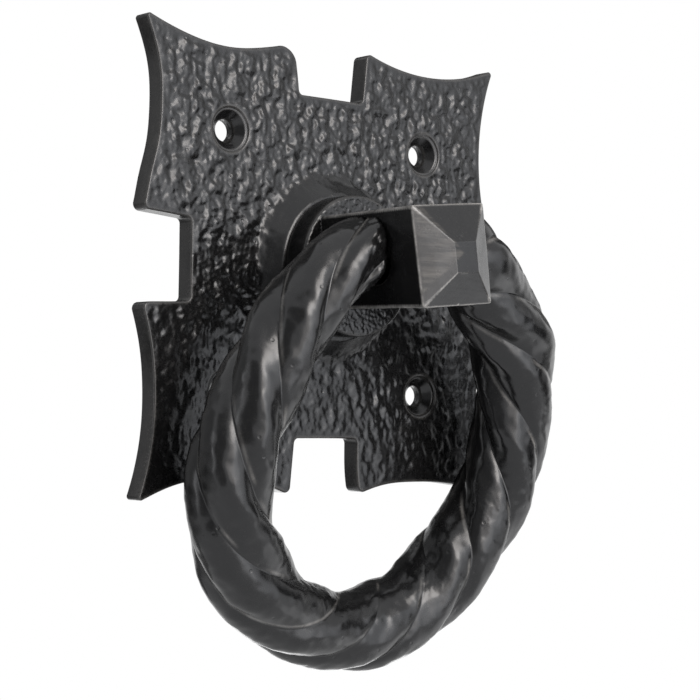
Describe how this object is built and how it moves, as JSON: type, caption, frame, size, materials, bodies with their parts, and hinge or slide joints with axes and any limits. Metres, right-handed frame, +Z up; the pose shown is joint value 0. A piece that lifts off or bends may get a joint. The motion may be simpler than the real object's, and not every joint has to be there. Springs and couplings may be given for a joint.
{
  "type": "twisted ring pull on a lobed backplate",
  "caption": "Black cast-iron ring pull: a rope-twisted ring hangs from a square hipped post that turns in a notched, countersunk backplate.",
  "frame": {"origin": "middle of the screw pattern, on the backplate's back face", "axes": "+Z up as it hangs, +Y into the wall or drawer front, so the pull stands out towards -Y"},
  "size_m": [0.1002, 0.0481, 0.1392],
  "materials": {
    "pebbled_black_iron": "satin black paint over a pebbled casting",
    "filed_black_iron": "satin black paint over filed faces",
    "twisted_black_iron": "satin black paint over smooth twisted strands",
    "washer_steel": "plain zinc grey"
  },
  "bodies": {
    "plate": {"backplate": "pebbled_black_iron"},
    "swivel": {"post": "filed_black_iron", "rivet_washer": "washer_steel"},
    "ring": {"twisted_ring": "twisted_black_iron"}
  },
  "joints": [
    {"name": "post_turn", "type": "hinge", "parent": "plate", "child": "swivel", "pos_m": [0, 0, 0], "axis": [0, -1, 0], "continuous": true},
    {"name": "ring_swing", "type": "hinge", "parent": "swivel", "child": "ring", "pos_m": [-0.0001, -0.03135, 0.001], "axis": [-0.9997, 0, -0.0262], "range_deg": [0, 209]}
  ]
}
